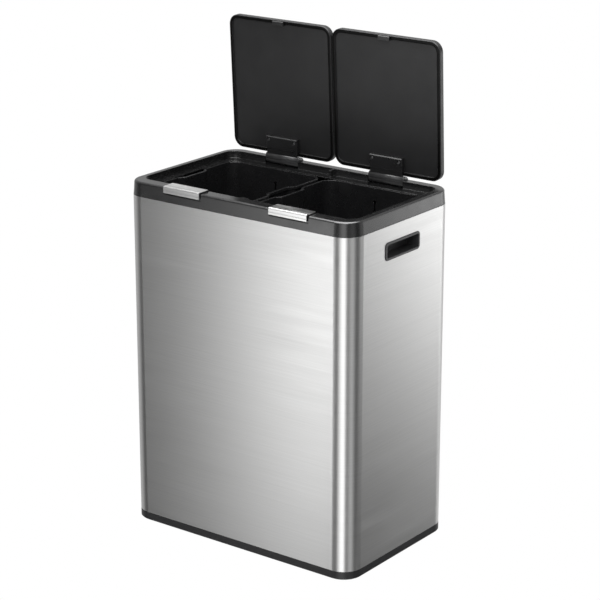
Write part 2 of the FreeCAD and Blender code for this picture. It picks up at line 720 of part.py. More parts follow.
def hinge_bracket():
    """Plate under the lid, leaf over the lip and knuckle on the pin, in one piece."""
    front, back, low, high = plate_span()
    half = PLATE_WIDTH / 2
    plate = block(LID_CENTRE_X - half, LID_CENTRE_X + half, front, back, low, high)
    plate = plate.makeChamfer(PLATE_BEVEL, level_edges(plate, low))
    half -= LEAF_INSET
    leaf = block(LID_CENTRE_X - half, LID_CENTRE_X + half, back - PLATE_BEVEL - PAST, HINGE_Y - PIN_RADIUS,
                 LID_LIP_LEVEL - LEAF_THICKNESS, LID_LIP_LEVEL)
    start = V(LID_CENTRE_X - KNUCKLE_LENGTH / 2, HINGE_Y, HINGE_Z)
    knuckle = rod(KNUCKLE_RADIUS, start, V(1, 0, 0), KNUCKLE_LENGTH)
    bore = rod(PIN_RADIUS + PIN_CLEARANCE, start, V(1, 0, 0), KNUCKLE_LENGTH)
    chamber_start = V(LID_CENTRE_X - CHAMBER_HALF, HINGE_Y, HINGE_Z)
    cuts = [bore, faceted_rod(CHAMBER_RADIUS, chamber_start, V(1, 0, 0), 2 * CHAMBER_HALF, SPRING_SIDES)]
    for x, y in screw_places():
        head_room = SCREW_RECESS + SCREW_HEAD_HEIGHT
        cuts.append(faceted_rod(SCREW_HEAD_RADIUS + FIT, V(x, y, low), V(0, 0, 1), head_room, SMALL_SIDES))
        cuts.append(faceted_rod(SCREW_SHANK_RADIUS + FIT, V(x, y, low), V(0, 0, 1), high - low, SMALL_SIDES))
    return plate.fuse([leaf, knuckle]).cut(cuts)


def bracket_screws():
    _, _, low, high = plate_span()
    head_low = low + SCREW_RECESS
    screws = []
    for x, y in screw_places():
        head = faceted_rod(SCREW_HEAD_RADIUS, V(x, y, head_low), V(0, 0, 1), SCREW_HEAD_HEIGHT, SMALL_SIDES)
        shank = faceted_rod(SCREW_SHANK_RADIUS, V(x, y, head_low), V(0, 0, 1), high - head_low, SMALL_SIDES)
        screws.append(head.fuse(shank))
    return Part.makeCompound(screws)


def striker():
    """Hooked block under the free edge of the shut lid, which the catch holds."""
    low = LID_LIP_LEVEL - STRIKER_HEIGHT
    middle = low + STRIKER_HEIGHT / 2
    front = LID_FRONT + LID_EDGE_CHAMFER
    neck = front + STRIKER_HOOK
    back = front + STRIKER_DEPTH
    root = LID_FRONT + LIP_WIDTH + FIT
    face = LID_LIP_LEVEL + LIP_HEIGHT
    points = [
        (neck, LID_LIP_LEVEL), (neck, middle), (front, middle - STRIKER_NOSE), (front + STRIKER_LEAD, low),
        (back, low), (back, face), (root, face), (root, LID_LIP_LEVEL),
    ]
    half = STRIKER_WIDTH / 2
    return side_profile(points, LID_CENTRE_X - half, LID_CENTRE_X + half)


def hinge_pin():
    half = PIN_HALF - FIT
    return rod(PIN_RADIUS, V(LID_CENTRE_X - half, HINGE_Y, HINGE_Z), V(1, 0, 0), 2 * half)


def wound_spring(inner, wire, start, direction, length):
    """Tube that the turns of a close-wound spring form."""
    turns = faceted_rod(inner + wire, start, direction, length, SPRING_SIDES)
    return turns.cut(faceted_rod(inner, start, direction, length, SPRING_SIDES))


def hinge_spring():
    """Torsion spring round the pin, inside the knuckle."""
    start = V(LID_CENTRE_X - HINGE_SPRING_LENGTH / 2, HINGE_Y, HINGE_Z)
    inner = PIN_RADIUS + HINGE_SPRING_GAP
    return wound_spring(inner, HINGE_SPRING_WIRE, start, V(1, 0, 0), HINGE_SPRING_LENGTH)


# ---- touch bars ---------------------------------------------------------------------------

def touch_bar():
    """Folded stainless cover: top leg, round corner and front leg with a long groove in each."""
    inner_top = BAR_TOP - BAR_SHEET
    inner_front = BAR_FRONT + BAR_SHEET
    points = [
        (BAR_BACK, inner_top), (BAR_BACK, BAR_TOP), (BAR_FRONT, BAR_TOP), (BAR_FRONT, BAR_BOTTOM),
        (inner_front, BAR_BOTTOM), (inner_front, inner_top),
    ]
    low_x = LID_CENTRE_X - BAR_LENGTH / 2
    bar = side_profile(points, low_x, low_x + BAR_LENGTH)

    def corner(edge, y, z):
        box = edge.BoundBox
        along = box.XLength > BAR_LENGTH / 2
        return along and abs(box.YMin - y) < 0.01 and abs(box.ZMin - z) < 0.01

    bar = bar.makeFillet(BAR_CORNER, edges_at(bar, lambda edge: corner(edge, BAR_FRONT, BAR_TOP)))
    inner_bend = edges_at(bar, lambda edge: corner(edge, inner_front, inner_top))
    bar = bar.makeFillet(BAR_CORNER - BAR_SHEET, inner_bend)
    front_groove_z = (BAR_BOTTOM + BAR_TOP - BAR_CORNER) / 2
    top_groove_y = BAR_FRONT + BAR_CORNER + BAR_TOP_GROOVE
    sunk = BAR_GROOVE_WIDTH / 2 - BAR_GROOVE
    grooves = []
    for y, z in ((BAR_FRONT - sunk, front_groove_z), (top_groove_y, BAR_TOP + sunk)):
        grooves.append(rod(BAR_GROOVE_WIDTH / 2, V(low_x, y, z), V(1, 0, 0), BAR_LENGTH))
    return bar.cut(grooves)


def bar_slider():
    """Plastic carrier in the bar, with two guide posts, a spring seat and the catch."""
    low_x = LID_CENTRE_X - BAR_LENGTH / 2 + FIT
    high_x = LID_CENTRE_X + BAR_LENGTH / 2 - FIT
    inner_top = BAR_TOP - BAR_SHEET
    inner_front = BAR_FRONT + BAR_SHEET
    foot = BAR_BOTTOM + FIT
    outline = [
        (BAR_BACK, SLIDER_BOTTOM), (BAR_BACK, inner_top), (inner_front, inner_top),
        (inner_front, foot), (SLIDER_FRONT_BACK, foot), (SLIDER_FRONT_BACK, SLIDER_BOTTOM),
    ]
    body = side_profile(outline, low_x, high_x)

    def bend(edge):
        box = edge.BoundBox
        along = box.XLength > BAR_LENGTH / 2
        return along and abs(box.YMin - inner_front) < 0.01 and abs(box.ZMax - inner_top) < 0.01

    body = body.makeFillet(BAR_CORNER - BAR_SHEET, edges_at(body, bend))
    pieces = []
    half = GUIDE_SIZE / 2
    for x in (LID_CENTRE_X - GUIDE_OFFSET, LID_CENTRE_X + GUIDE_OFFSET):
        pieces.append(block(x - half, x + half, SPRING_Y - half, SPRING_Y + half,
                            SLIDER_BOTTOM - GUIDE_LENGTH, inner_top))
    stud_radius = BAR_SPRING_RADIUS - BAR_SPRING_WIRE - STUD_CLEARANCE
    stud_low = V(LID_CENTRE_X, SPRING_Y, SLIDER_BOTTOM - STUD_LENGTH)
    pieces.append(faceted_rod(stud_radius, stud_low, V(0, 0, 1), STUD_LENGTH + SLIDER_TOP, SMALL_SIDES))
    nose = RECESS_FRONT + CATCH_NOSE
    points = [
        (CATCH_FRONT, inner_top), (CATCH_FRONT, CATCH_BOTTOM), (BAR_BACK, CATCH_BOTTOM),
        (nose, CATCH_BOTTOM + CATCH_LEAD), (nose, CATCH_TOP - CATCH_LEAD / 2), (BAR_BACK, CATCH_TOP),
        (BAR_BACK, inner_top),
    ]
    half = CATCH_WIDTH / 2
    pieces.append(side_profile(points, LID_CENTRE_X - half, LID_CENTRE_X + half))
    return body.fuse(pieces)


def bar_spring():
    """Compression spring from the foot of its well up to the slider."""
    low = SPRING_WELL_BOTTOM + BAR_SPRING_END_GAP
    length = SLIDER_BOTTOM - BAR_SPRING_END_GAP - low
    inner = BAR_SPRING_RADIUS - BAR_SPRING_WIRE
    return wound_spring(inner, BAR_SPRING_WIRE, V(LID_CENTRE_X, SPRING_Y, low), V(0, 0, 1), length)


def lid_stops():
    """Rubber pads on the front ledge, on which the lids rest when shut."""
    y = (RECESS_FRONT + OPENING_FRONT) / 2
    stops = []
    for side in (-1, 1):
        for lid_x in (LID_INNER_X + STOP_INSET, LID_OUTER_X - STOP_INSET):
            x = side * lid_x
            stops.append(block(x - STOP_HALF, x + STOP_HALF, y - STOP_HALF, y + STOP_HALF,
                               LEDGE_TOP, LID_LIP_LEVEL - STOP_CLEARANCE))
    return Part.makeCompound(stops)


# ---- buckets ------------------------------------------------------------------------------

def bucket_outline(z, shrink=0.0):
    """Outside of the bucket at a height: it narrows evenly towards the floor."""
    drawn_in = BUCKET_TAPER * (BUCKET_TOP - z) / (BUCKET_TOP - BUCKET_BASE)
    in_all = BEAD_WIDTH - BUCKET_WALL + drawn_in + shrink
    return rounded(BUCKET_INNER_X + in_all, BUCKET_OUTER_X - in_all, BUCKET_FRONT + in_all,
                   BUCKET_BACK - in_all, BUCKET_RADIUS - shrink)


def bucket_space(shrink, low_z, high_z):
    return drafted(bucket_outline(low_z, shrink), low_z, bucket_outline(high_z, shrink), high_z)


def grip_wedge(wall_x, direction, grow):
    """Finger grip: deepest at the rim, run out to nothing lower down. Direction is into the bucket."""
    half = GRIP_LENGTH / 2 + grow
    outside = wall_x - direction * GRIP_REACH
    bend = wall_x + direction * (GRIP_DEPTH + grow)
    deep = bend + direction * GRIP_BEND / 4
    slope = GRIP_END * GRIP_REACH / (GRIP_DEPTH + grow)
    drawn_in = BUCKET_TAPER * GRIP_HEIGHT / (BUCKET_TOP - BUCKET_BASE)
    height = GRIP_HEIGHT + GRIP_RISE
    run = (GRIP_DEPTH - drawn_in + GRIP_RUN_OUT) * height / GRIP_HEIGHT
    flat = half - GRIP_END
    places = [(outside, -half - slope), (bend, -flat - GRIP_BEND), (deep, -flat),
              (deep, flat), (bend, flat + GRIP_BEND), (outside, half + slope)]
    corners = [V(x, GRIP_CENTRE_Y + y, BUCKET_TOP + GRIP_RISE) for x, y in places]
    face = Part.Face(Part.makePolygon(corners + corners[:1]))
    return face.extrude(V(-direction * run, 0, -height))


def keyhole():
    """Slot in the bucket's back wall: a round hole above, a narrow neck and a wider foot."""
    x = (BUCKET_INNER_X + BUCKET_OUTER_X) / 2
    top = BUCKET_TOP - KEYHOLE_DROP
    bottom = top - KEYHOLE_HEIGHT
    low_y = BUCKET_BACK - BUCKET_RADIUS
    hole_z = top - KEYHOLE_TOP_RADIUS
    hole = rod(KEYHOLE_TOP_RADIUS, V(x, low_y, hole_z), V(0, 1, 0), BUCKET_RADIUS)
    half = KEYHOLE_SLOT_WIDTH / 2
    neck = block(x - half, x + half, low_y, BUCKET_BACK, bottom, hole_z)
    half = KEYHOLE_BOTTOM_WIDTH / 2
    foot = block(x - half, x + half, low_y, BUCKET_BACK, bottom, bottom + KEYHOLE_BOTTOM_HEIGHT)
    return hole.fuse([neck, foot])


def bucket():
    """Tapered bucket with its finger grips, a beaded rim that follows them, and a keyhole slot."""
    body = bucket_space(0, BUCKET_BASE, BUCKET_TOP - BEAD_HEIGHT / 2)
    rim_radius = BUCKET_RADIUS + BEAD_WIDTH - BUCKET_WALL
    rim_outline = rounded(BUCKET_INNER_X, BUCKET_OUTER_X, BUCKET_FRONT, BUCKET_BACK, rim_radius)
    bead = prism(rim_outline, BUCKET_TOP - BEAD_HEIGHT, BUCKET_TOP)
    bead = bead.makeChamfer(BEAD_CHAMFER, level_edges(bead, BUCKET_TOP))
    inside = bucket_space(BUCKET_WALL, BUCKET_BASE + BUCKET_FOOT, BUCKET_TOP + PAST)
    inner_wall = BUCKET_INNER_X + BEAD_WIDTH - BUCKET_WALL
    outer_wall = BUCKET_OUTER_X - BEAD_WIDTH + BUCKET_WALL
    for wall_x, direction in ((inner_wall, 1), (outer_wall, -1)):
        body = body.cut(grip_wedge(wall_x, direction, 0))
        bead = bead.cut(grip_wedge(wall_x, direction, BUCKET_WALL - BEAD_WIDTH))
        inside = inside.cut(grip_wedge(wall_x, direction, BUCKET_WALL))
    low_x, high_x, low_y, high_y, _ = bucket_outline(BUCKET_BASE, BUCKET_FOOT_RING)
    under = block(low_x, high_x, low_y, high_y, BUCKET_BASE - PAST, BUCKET_BASE + BUCKET_FOOT - BUCKET_FLOOR)
    return body.fuse(bead).cut([inside, under, keyhole()])


# ---- write every node ---------------------------------------------------------------------

save("base_tray", base_tray())
save("base_feet", base_feet())
save("body_shell", body_shell())
save("rim_frame", rim_frame())
save("lid_stops", lid_stops())

for side_name, side in SIDES:
    save(f"handle_cup_{side_name}", on_side(handle_cup(), side))
    save(f"bucket_{side_name}", on_side(bucket(), side))
    save(f"lid_panel_{side_name}", on_side(opened(lid_panel()), side))
    save(f"lid_skin_{side_name}", on_side(opened(lid_skin()), side))
    save(f"hinge_bracket_{side_name}", on_side(opened(hinge_bracket()), side))
    save(f"bracket_screws_{side_name}", on_side(opened(bracket_screws()), side))
    save(f"striker_{side_name}", on_side(opened(striker()), side))
    save(f"hinge_pin_{side_name}", on_side(hinge_pin(), side))
    save(f"hinge_spring_{side_name}", on_side(hinge_spring(), side))
    save(f"touch_bar_{side_name}", on_side(touch_bar(), side))
    save(f"bar_slider_{side_name}", on_side(bar_slider(), side))
    save(f"bar_spring_{side_name}", on_side(bar_spring(), side))
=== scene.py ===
import json
import math

import bpy
from mathutils import Matrix, Vector


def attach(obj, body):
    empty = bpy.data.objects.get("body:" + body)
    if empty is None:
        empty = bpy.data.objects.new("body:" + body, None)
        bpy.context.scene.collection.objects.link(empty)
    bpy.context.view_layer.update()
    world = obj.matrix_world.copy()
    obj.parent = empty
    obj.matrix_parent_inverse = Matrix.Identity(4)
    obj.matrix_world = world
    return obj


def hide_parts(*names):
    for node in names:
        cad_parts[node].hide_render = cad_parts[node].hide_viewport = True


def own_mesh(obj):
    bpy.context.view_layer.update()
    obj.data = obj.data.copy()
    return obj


# Double recycling bin: stainless body, black rim, two open lids. Metres, in the model's own frame.

SIDES = (("left", -1), ("right", 1))

# ---- camera: where the photograph was taken from -------------------------------------------
CAMERA_AZIMUTH = 36.926
CAMERA_ELEVATION = 17.896
CAMERA_DISTANCE = 3.90668
CAMERA_RIGHT = 0.02139
CAMERA_UP = 0.10405
LOOK_HEIGHT = 0.33
LENS = 126.99
SENSOR = 36.0
FARTHEST = 60.0

# ---- lid, hinge and bar, as in the CAD model with its lids shut ----------------------------
LID_CENTRE_X = 0.11835
LID_HALF_X = 0.11715
LID_FRONT = -0.1225
LID_BACK = 0.1335
LID_RADIUS = 0.020
LID_CORNER_STEPS = 8
LIP_LEVEL = 0.6534
HINGE_Y = 0.145
HINGE_Z = 0.6564
KNUCKLE_RADIUS = 0.0092
KNUCKLE_LENGTH = 0.076
OPEN_ANGLE = -87.0

# ---- dressed pieces ------------------------------------------------------------------------
# bead on the lid's lip, as (inset from the lid's edge, how far it stands out of the lip)
BORDER_SECTION = ((0.0012, 0.0), (0.0020, 0.00016), (0.0034, 0.00026), (0.0059, 0.00026),
                  (0.0067, 0.00014), (0.0068, -0.0020), (0.0012, -0.0004))
# sleeve over the knuckle
SLEEVE_SIDES = 28
SLEEVE_GAP = 0.0003
SLEEVE_WALL = 0.0014
SLEEVE_EDGE = 0.0008
SLEEVE_END = 0.0002
# front between the knuckle and its leaf, as (y, z) from the hinge axis with the lid shut
FRONT_SECTION = ((-0.0004, -0.0094), (-0.0035, -0.0095), (-0.0065, -0.0092), (-0.0088, -0.0083),
                 (-0.0105, -0.0068), (-0.0114, -0.0050), (-0.0116, -0.0034), (-0.0004, -0.0034))
FRONT_END = 0.0003
# cross-head screws
SCREW_X = 0.0295
SCREW_Y = 0.1069
SCREW_LEVEL = 0.6491
SCREW_HEIGHT = 0.0016
SCREW_RADIUS = 0.0026
SCREW_SIDES = 24
SHANK_RADIUS = 0.0015
SHANK_LENGTH = 0.0060
# domed face of the head, as (share of its radius, depth below the crown)
SCREW_DOME = ((1.0, 0.0005), (0.88, 0.00012), (0.74, 0.0))
CROSS_ARM = 0.0017
CROSS_HALF = 0.00032
CROSS_DEPTH = 0.0008
# wound springs
COIL_STEPS = 16
WIRE_SIDES = 6
BAR_SPRING_Y = -0.1435
BAR_SPRING_LOW = 0.6432
BAR_SPRING_HIGH = 0.6593
BAR_SPRING_RADIUS = 0.0036
BAR_SPRING_WIRE = 0.0009
BAR_SPRING_TURNS = 8
HINGE_SPRING_LENGTH = 0.044
HINGE_SPRING_RADIUS = 0.00495
HINGE_SPRING_WIRE = 0.0016
HINGE_SPRING_TURNS = 25

# ---- finishes ------------------------------------------------------------------------------
# part of a noise's range that a colour or a number runs over
NOISE_LOW, NOISE_HIGH = 0.3, 0.7
EDGE_SAMPLES = 4
# brushed steel: brush lines per metre along each axis, dark, light, roughness, anisotropy
STEELS = {
    "stainless_sheet": ((5.0, 5.0, 1500.0), (0.60, 0.60, 0.595), (0.68, 0.68, 0.675), 0.34, 0.75),
    "stainless_bar": ((12.0, 1800.0, 1800.0), (0.62, 0.62, 0.615), (0.74, 0.74, 0.735), 0.28, 0.3),
    "pin_steel": ((900.0, 900.0, 900.0), (0.42, 0.42, 0.43), (0.52, 0.52, 0.53), 0.35, 0.0),
}
BRUSH_TURN = 0.25
STEEL_PATCHES = (5.0, 5.0, 60.0)
STEEL_SPREAD = 0.02
STEEL_RELIEF = 0.05
STEEL_RELIEF_DEPTH = 0.0002
# moulded plastic: dark, light, roughness, relief, edge rounding, specular level
PLASTICS = {
    "rim_plastic": ((0.005, 0.005, 0.0052), (0.007, 0.007, 0.0073), 0.24, 0.05, 0.0014, 0.9),
    "base_plastic": ((0.010, 0.010, 0.011), (0.014, 0.014, 0.015), 0.42, 0.15, 0.0008, 0.5),
    # handle: a grey lighter than the rim's, partly its own colour and partly painted light inside the cup,
    # where the lamps reach little
    "handle_plastic": ((0.022, 0.022, 0.023), (0.028, 0.028, 0.029), 0.32, 0.15, 0.0008, 0.5),
    "lid_plastic": ((0.008, 0.008, 0.0085), (0.012, 0.012, 0.0125), 0.40, 0.15, 0.0008, 0.5),
    # border: near-black with a low specular level, partly the lip's own black and partly painted shade along
    # the lid's edge
    "border_plastic_and_shade": ((0.002, 0.002, 0.002), (0.003, 0.003, 0.003), 0.30, 0.05, 0.0008, 0.12),
    "hinge_plastic": ((0.010, 0.010, 0.0105), (0.013, 0.013, 0.0135), 0.30, 0.06, 0.0012, 0.6),
    # knuckle: a grey lighter than the hinge's plastic, partly its own grey and partly painted sheen of the
    # rounded barrel
    "knuckle_plastic_and_sheen": ((0.030, 0.030, 0.031), (0.040, 0.040, 0.041), 0.30, 0.15, 0.0004, 0.5),
    "bucket_plastic": ((0.007, 0.007, 0.0075), (0.010, 0.010, 0.0105), 0.27, 0.05, 0.0012, 0.7),
    "slider_plastic": ((0.008, 0.008, 0.009), (0.011, 0.011, 0.012), 0.40, 0.15, 0.0008, 0.5),
    "rubber": ((0.010, 0.010, 0.010), (0.014, 0.014, 0.014), 0.75, 0.15, 0.0005, 0.5),
}
# moulded plastic: mottles and roughness patches per metre, size of a texture grain in metres
PLASTIC_MOTTLES = 14.0
PLASTIC_PATCHES = 40.0
PLASTIC_GRAIN = 0.0006
PLASTIC_SPREAD = 0.04
PLASTIC_RELIEF_DEPTH = 0.0001

# ---- studio --------------------------------------------------------------------------------
WHITE = 1.0
ROOM = 0.72
FLOOR_SIZE = 14.0
FLOOR_GREY = 0.8
# what shows in reflections round the bin, as (azimuth in degrees, brightness): 0 is straight
# behind it and 90 on its right
WALLS_STRENGTH = 2.0
WALLS = (
    (-180, 0.24), (-170, 0.06), (-158, 0.12), (-150, 0.45), (-135, 0.09), (-118, 0.10), (-95, 0.25),
    (-40, 0.31), (0, 0.37), (40, 0.26), (62, 0.16), (78, 0.03), (90, 0.10), (106, 0.32), (118, 0.24),
    (129, 0.08), (140, 0.16), (147, 0.90), (165, 0.86), (173, 0.50),
)
# panels that only reflections show: a corner, the edges across and up from it, strength, and then
# the brightness along each edge, as (share, brightness)
PANELS = {
    # the front wall mirrors this one: bright on its right, darker to its left and to the floor
    "panel_front": (
        (-2.3, -1.2, -1.2), (2.2, 0, 0), (0, 0, 2.4), 2.5,
        ((0.0, 0.05), (0.45, 0.05), (0.525, 0.064), (0.562, 0.095), (0.598, 0.143), (0.635, 0.23),
         (0.671, 0.345), (0.707, 0.49), (0.744, 0.655), (0.78, 0.84), (0.80, 0.92), (0.865, 1.0),
         (0.89, 0.35), (0.93, 0.05), (1.0, 0.05)),
        ((0.0, 0.0), (0.13, 0.0), (0.50, 1.0), (0.82, 1.0), (0.91, 0.30), (1.0, 0.25)),
    ),
    # the right wall mirrors this one: darker towards the floor and towards the front corner
    "panel_right": (
        (1.3, 0.4, -1.6), (0, 2.6, 0), (0, 0, 2.4), 4.3,
        ((0.0, 0.12), (0.04, 0.20), (0.28, 0.17), (0.36, 0.24), (0.41, 0.56), (0.45, 0.78),
         (0.485, 0.90), (0.52, 1.0), (1.0, 1.0)),
        ((0.0, 0.0), (0.36, 0.0), (0.80, 0.70), (1.0, 0.80)),
    ),
    # broad overhead box that draws a light line along each rounded upper edge
    "panel_top": (
        (-1.2, -1.4, 2.5), (2.4, 0, 0), (0, 2.4, 0), 9.0,
        ((0.0, 0.7), (1.0, 1.0)),
        ((0.0, 1.0), (1.0, 0.8)),
    ),
}
# softboxes: place, side in metres and power in watts
LAMP_TARGET = (0, 0, 0.6)
LAMPS = {"key": ((1.5, -2.4, 2.8), 1.6, 60), "top": ((-0.4, 0.3, 3.2), 1.8, 40)}


# ---- node helpers --------------------------------------------------------------------------

def new_material(name):
    """Empty material with a Principled shader at its output."""
    material = bpy.data.materials.new(name)
    material.use_nodes = True
    nodes = material.node_tree.nodes
    nodes.clear()
    output = nodes.new("ShaderNodeOutputMaterial")
    shader = nodes.new("ShaderNodeBsdfPrincipled")
    link(material, shader.outputs["BSDF"], output.inputs["Surface"])
    return material, shader


def link(owner, source, target):
    owner.node_tree.links.new(source, target)


def stretched_coordinates(material, scale):
    """The node's own metres, stretched by a factor along each axis."""
    nodes = material.node_tree.nodes
    place = nodes.new("ShaderNodeTexCoord")
    mapping = nodes.new("ShaderNodeMapping")
    mapping.inputs["Scale"].default_value = scale
    link(material, place.outputs["Object"], mapping.inputs["Vector"])
    return mapping.outputs["Vector"]


def noise(material, scale, detail=3.0, roughness=0.5):
    """Noise value whose grain size is set along each axis."""
    texture = material.node_tree.nodes.new("ShaderNodeTexNoise")
    texture.inputs["Scale"].default_value = 1.0
    texture.inputs["Detail"].default_value = detail
    texture.inputs["Roughness"].default_value = roughness
    link(material, stretched_coordinates(material, scale), texture.inputs["Vector"])
    return texture.outputs["Fac"]


def span(material, value, low, high):
    """Maps a noise value's middle range to a range of numbers."""
    node = material.node_tree.nodes.new("ShaderNodeMapRange")
    node.inputs["From Min"].default_value = NOISE_LOW
    node.inputs["From Max"].default_value = NOISE_HIGH
    node.inputs["To Min"].default_value = low
    node.inputs["To Max"].default_value = high
    link(material, value, node.inputs["Value"])
    return node.outputs["Result"]


def shade_between(material, value, dark, light):
    """Colour that runs from dark to light with a value."""
    ramp = material.node_tree.nodes.new("ShaderNodeValToRGB")
    ramp.color_ramp.elements[0].position = NOISE_LOW
    ramp.color_ramp.elements[0].color = (*dark, 1.0)
    ramp.color_ramp.elements[1].position = NOISE_HIGH
    ramp.color_ramp.elements[1].color = (*light, 1.0)
    link(material, value, ramp.inputs["Fac"])
    return ramp.outputs["Color"]


def bump(material, shader, height, strength, distance, edge_radius=0.0):
    """Surface relief, with the moulding's small edge rounding under it."""
    nodes = material.node_tree.nodes
    relief = nodes.new("ShaderNodeBump")
    relief.inputs["Strength"].default_value = strength
    relief.inputs["Distance"].default_value = distance
    link(material, height, relief.inputs["Height"])
    if edge_radius > 0.0:
        rounding = nodes.new("ShaderNodeBevel")
        rounding.samples = EDGE_SAMPLES
        rounding.inputs["Radius"].default_value = edge_radius
        link(material, rounding.outputs["Normal"], relief.inputs["Normal"])
    link(material, relief.outputs["Normal"], shader.inputs["Normal"])


# ---- materials -----------------------------------------------------------------------------

def brushed_steel(name, grain, dark, light, roughness, anisotropy):
    """Stainless steel with fine brush lines, which run along the axis where the grain is lowest."""
    material, shader = new_material(name)
    shader.inputs["Metallic"].default_value = 1.0
    shader.inputs["Anisotropic"].default_value = anisotropy
    shader.inputs["Anisotropic Rotation"].default_value = BRUSH_TURN
    tangent = material.node_tree.nodes.new("ShaderNodeTangent")
    tangent.direction_type = "RADIAL"
    tangent.axis = "Z"
    link(material, tangent.outputs["Tangent"], shader.inputs["Tangent"])
    lines = noise(material, grain, detail=4.0, roughness=0.65)
    link(material, shade_between(material, lines, dark, light), shader.inputs["Base Color"])
    patches = noise(material, STEEL_PATCHES, detail=2.0)
    varied = span(material, patches, roughness - STEEL_SPREAD, roughness + STEEL_SPREAD)
    link(material, varied, shader.inputs["Roughness"])
    bump(material, shader, lines, STEEL_RELIEF, STEEL_RELIEF_DEPTH)
    return material


def moulded_plastic(name, dark, light, roughness, relief, edge, specular):
    """Black moulded plastic: a fine eroded texture, faint mottling and small rounded edges."""
    material, shader = new_material(name)
    shader.inputs["Specular IOR Level"].default_value = specular
    mottling = noise(material, (PLASTIC_MOTTLES,) * 3, detail=5.0)
    link(material, shade_between(material, mottling, dark, light), shader.inputs["Base Color"])
    patches = noise(material, (PLASTIC_PATCHES,) * 3, detail=3.0)
    varied = span(material, patches, roughness - PLASTIC_SPREAD, roughness + PLASTIC_SPREAD)
    link(material, varied, shader.inputs["Roughness"])
    texture = noise(material, (1.0 / PLASTIC_GRAIN,) * 3, detail=2.0)
    bump(material, shader, texture, relief, PLASTIC_RELIEF_DEPTH, edge)
    return material


def make_materials():
    materials = {name: brushed_steel(name, *finish) for name, finish in STEELS.items()}
    materials.update({name: moulded_plastic(name, *finish) for name, finish in PLASTICS.items()})
    return materials


def paint_nodes(frame, materials):
    """Each CAD node takes the finish of its slot in the record."""
    for part in frame["record"]["subparts"]:
        mesh = frame["nodes"][part["node"]].data
        mesh.materials.clear()
        mesh.materials.append(materials[part["material_slot"]])


# ---- dressed pieces ------------------------------------------------------------------------

def piece(name, points, faces, material, body, smooth=True):
    """Mesh piece in the row frame that rides on a CAD body."""
    mesh = bpy.data.meshes.new(name)
    mesh.from_pydata(points, [], faces)
    mesh.validate()
    for polygon in mesh.polygons:
        polygon.use_smooth = smooth
    mesh.materials.append(material)
    thing = bpy.data.objects.new(name, mesh)
    bpy.context.scene.collection.objects.link(thing)
    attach(thing, body)
    return thing


def lid_open(points):
    """Points of the shut lid, swung to where the lid stands open at rest."""
    hinge = Vector((0.0, HINGE_Y, HINGE_Z))
    swing = Matrix.Rotation(math.radians(OPEN_ANGLE), 3, "X")
    return [hinge + swing @ (Vector(point) - hinge) for point in points]


def circle(radius, sides):
    """Points round a circle, as pairs from its centre."""
    turns = [2 * math.pi * side / sides for side in range(sides)]
    return [(radius * math.cos(turn), radius * math.sin(turn)) for turn in turns]


def rounded_loop(centre_x, inset, height):
    """Outline of the lid drawn in by an inset, as points at one height."""
    half_x = LID_HALF_X - inset
    radius = LID_RADIUS - inset
    low_y, high_y = LID_FRONT + inset, LID_BACK - inset
    corners = ((half_x, high_y), (-half_x, high_y), (-half_x, low_y), (half_x, low_y))
    points = []
    for corner, (x, y) in enumerate(corners):
        middle_x = centre_x + x - math.copysign(radius, x)
        middle_y = y + (radius if y == low_y else -radius)
        for step in range(LID_CORNER_STEPS + 1):
            angle = math.radians(90.0 * (corner + step / LID_CORNER_STEPS))
            points.append((middle_x + radius * math.cos(angle), middle_y + radius * math.sin(angle), height))
    return points


def closed_strip(loops):
    """Points and faces of a closed ring whose section runs through the loops in turn."""
    count = len(loops[0])
    points = [point for loop in loops for point in loop]
    faces = []
    for row in range(len(loops)):
        here, there = row * count, (row + 1) % len(loops) * count
        for index in range(count):
            after = (index + 1) % count
            faces.append((here + index, here + after, there + after, there + index))
    return points, faces


def lid_border(name, centre_x, material):
    """Gloss black moulded bead that runs round the lip of the lid; its near-black colour is partly the lip's
    own black and partly painted shade along the lid's edge.
    """
    loops = [rounded_loop(centre_x, inset, LIP_LEVEL - rise) for inset, rise in BORDER_SECTION]
    points, faces = closed_strip(loops)
    piece(f"lid_border_{name}", lid_open(points), faces, material, f"lid_{name}")


def knuckle_sleeve(name, centre_x, material):
    """Smooth outside of the hinge knuckle, with small rounded ends."""
    radius = KNUCKLE_RADIUS + SLEEVE_GAP
    half = KNUCKLE_LENGTH / 2 - SLEEVE_END
    profile = ((-half, radius - SLEEVE_EDGE), (-half + SLEEVE_EDGE, radius), (half - SLEEVE_EDGE, radius),
               (half, radius - SLEEVE_EDGE), (half, radius - SLEEVE_WALL), (-half, radius - SLEEVE_WALL))
    loops = []
    for x, ring in profile:
        loops.append([(centre_x + x, HINGE_Y + y, HINGE_Z + z) for y, z in circle(ring, SLEEVE_SIDES)])
    points, faces = closed_strip(loops)
    piece(f"knuckle_sleeve_{name}", lid_open(points), faces, material, f"lid_{name}")


def knuckle_front(name, centre_x, material):
    """Rounded front that joins the knuckle to its leaf, so that the knuckle reads as one full barrel."""
    half = KNUCKLE_LENGTH / 2 - FRONT_END
    points = [(centre_x + x, HINGE_Y + y, HINGE_Z + z) for x in (-half, half) for y, z in FRONT_SECTION]
    count = len(FRONT_SECTION)
    faces = []
    for index in range(count):
        after = (index + 1) % count
        faces.append((index, after, after + count, index + count))
    faces += [tuple(reversed(range(count))), tuple(range(count, 2 * count))]
    front = piece(f"knuckle_front_{name}", lid_open(points), faces, material, f"lid_{name}")
    # the side against the leaf and the two ends are flat
    for flat in range(count - 2, count + 2):
        front.data.polygons[flat].use_smooth = False


def cross_outline():
    """Corners of the screw's cross recess, as pairs from its centre."""
    arm, half = CROSS_ARM, CROSS_HALF
    return [(arm, half), (half, half), (half, arm), (-half, arm), (-half, half), (-arm, half),
            (-arm, -half), (-half, -half), (-half, -arm), (half, -arm), (half, -half), (arm, -half)]


